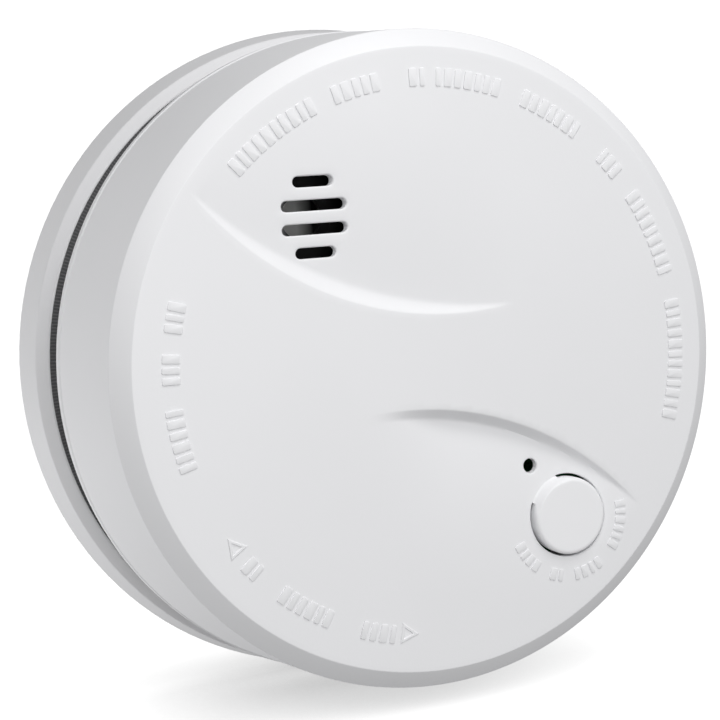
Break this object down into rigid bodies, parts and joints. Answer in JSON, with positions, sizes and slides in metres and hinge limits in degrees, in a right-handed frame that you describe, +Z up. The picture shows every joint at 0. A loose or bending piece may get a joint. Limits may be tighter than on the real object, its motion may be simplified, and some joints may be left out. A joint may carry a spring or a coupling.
{
  "type": "smoke detector",
  "caption": "Round battery smoke detector with a sounder grille, test button and indicator; the head twists off an open mounting base.",
  "frame": {"origin": "centre of the base's back face, midway between its two screw slots", "axes": "-Y is the way the face looks, +Y runs into the wall or ceiling, +Z is up the face, +X is to the right seen from the front"},
  "size_m": [0.1068, 0.0412, 0.1068],
  "materials": {
    "white_shell": "fine-textured off-white ABS",
    "white_inner": "satin off-white ABS",
    "button_plastic": "satin off-white ABS",
    "black_mesh": "black woven insect screen",
    "board_green": "green solder mask on fibreglass",
    "black_plastic": "black moulded plastic",
    "steel_mesh": "fine steel mesh",
    "screw_steel": "zinc-plated steel",
    "emitter_resin": "tinted clear resin",
    "diode_resin": "dark filtering resin",
    "tin_plate": "tin-plated steel",
    "horn_grey": "grey moulded plastic",
    "brass_disc": "thin brass",
    "ceramic": "silvered piezo ceramic",
    "foam": "closed-cell foam",
    "sleeve_blue": "blue shrink sleeve on an aluminium can",
    "sleeve_black": "black shrink sleeve on an aluminium can",
    "ferrite": "grey-black ferrite",
    "copper_wire": "enamelled copper wire",
    "resistor_body": "beige lacquer with colour bands",
    "diode_glass": "orange glass",
    "capacitor_tan": "tan dipped ceramic",
    "lamp_red": "red translucent resin",
    "battery_jacket": "printed metal jacket",
    "battery_plate": "black end plate",
    "nickel": "nickel-plated snap",
    "flap_red": "red plastic",
    "label_paper": "plain white label"
  },
  "bodies": {
    "base": {"mounting_base": "white_inner"},
    "screen": {"perimeter_screen": "black_mesh"},
    "head": {"rear_housing": "white_inner", "front_cover": "white_shell", "circuit_board": "board_green", "board_screws": "screw_steel", "chamber_block": "black_plastic", "chamber_labyrinth": "black_plastic", "chamber_screen": "steel_mesh", "infrared_emitter": "emitter_resin", "photodiode": "diode_resin", "photodiode_shield": "tin_plate", "horn_housing": "horn_grey", "horn_cap": "horn_grey", "horn_disc": "brass_disc", "horn_ceramic": "ceramic", "horn_contacts": "screw_steel", "horn_gasket": "foam", "detector_chip": "black_plastic", "chip_legs": "tin_plate", "capacitor_large": "sleeve_blue", "capacitor_medium": "sleeve_black", "capacitor_small": "sleeve_blue", "coil_core": "ferrite", "coil_winding": "copper_wire", "resistors": "resistor_body", "diodes": "diode_glass", "ceramic_capacitors": "capacitor_tan", "transistors": "black_plastic", "indicator_lamp": "lamp_red", "indicator_spacer": "black_plastic", "indicator_leads": "tin_plate", "switch_body": "black_plastic", "switch_plate": "tin_plate", "contact_spring_positive": "nickel", "contact_spring_negative": "nickel", "flap_pin": "screw_steel", "rear_label": "label_paper"},
    "button": {"test_button": "button_plastic"},
    "plunger": {"switch_plunger": "black_plastic"},
    "battery": {"battery_case": "battery_jacket", "battery_top": "battery_plate", "battery_foot": "battery_plate", "battery_positive": "nickel", "battery_negative": "nickel"},
    "flap": {"lockout_flap": "flap_red"}
  },
  "joints": [
    {"name": "lift_off", "type": "slide", "parent": "base", "child": "screen", "axis": [0, -1, 0], "range_m": [0, 0.06]},
    {"name": "twist_lock", "type": "hinge", "parent": "screen", "child": "head", "pos_m": [0, 0, 0], "axis": [0, 1, 0], "range_deg": [0, 15]},
    {"name": "test_button_press", "type": "hinge", "parent": "head", "child": "button", "pos_m": [0.01743, -0.0396, -0.02145], "axis": [0.7733, 0, 0.6341], "range_deg": [0, 4.2], "stiffness_Nm_per_rad": 0.2},
    {"name": "switch_plunger_press", "type": "slide", "parent": "head", "child": "plunger", "axis": [0, 1, 0], "range_m": [0, 0.0005]},
    {"name": "battery_out", "type": "slide", "parent": "head", "child": "battery", "axis": [0, 1, 0], "range_m": [0, 0.03]},
    {"name": "lockout_flap_swing", "type": "hinge", "parent": "head", "child": "flap", "pos_m": [-0.024, -0.02145, -0.022], "axis": [0, 0, 1], "range_deg": [0, 50]}
  ],
  "couplings": [
    {"joint": "switch_plunger_press", "follows": "test_button_press", "m_per_rad": 0.0065},
    {"joint": "lockout_flap_swing", "follows": "battery_out", "rad_per_m": 29}
  ]
}
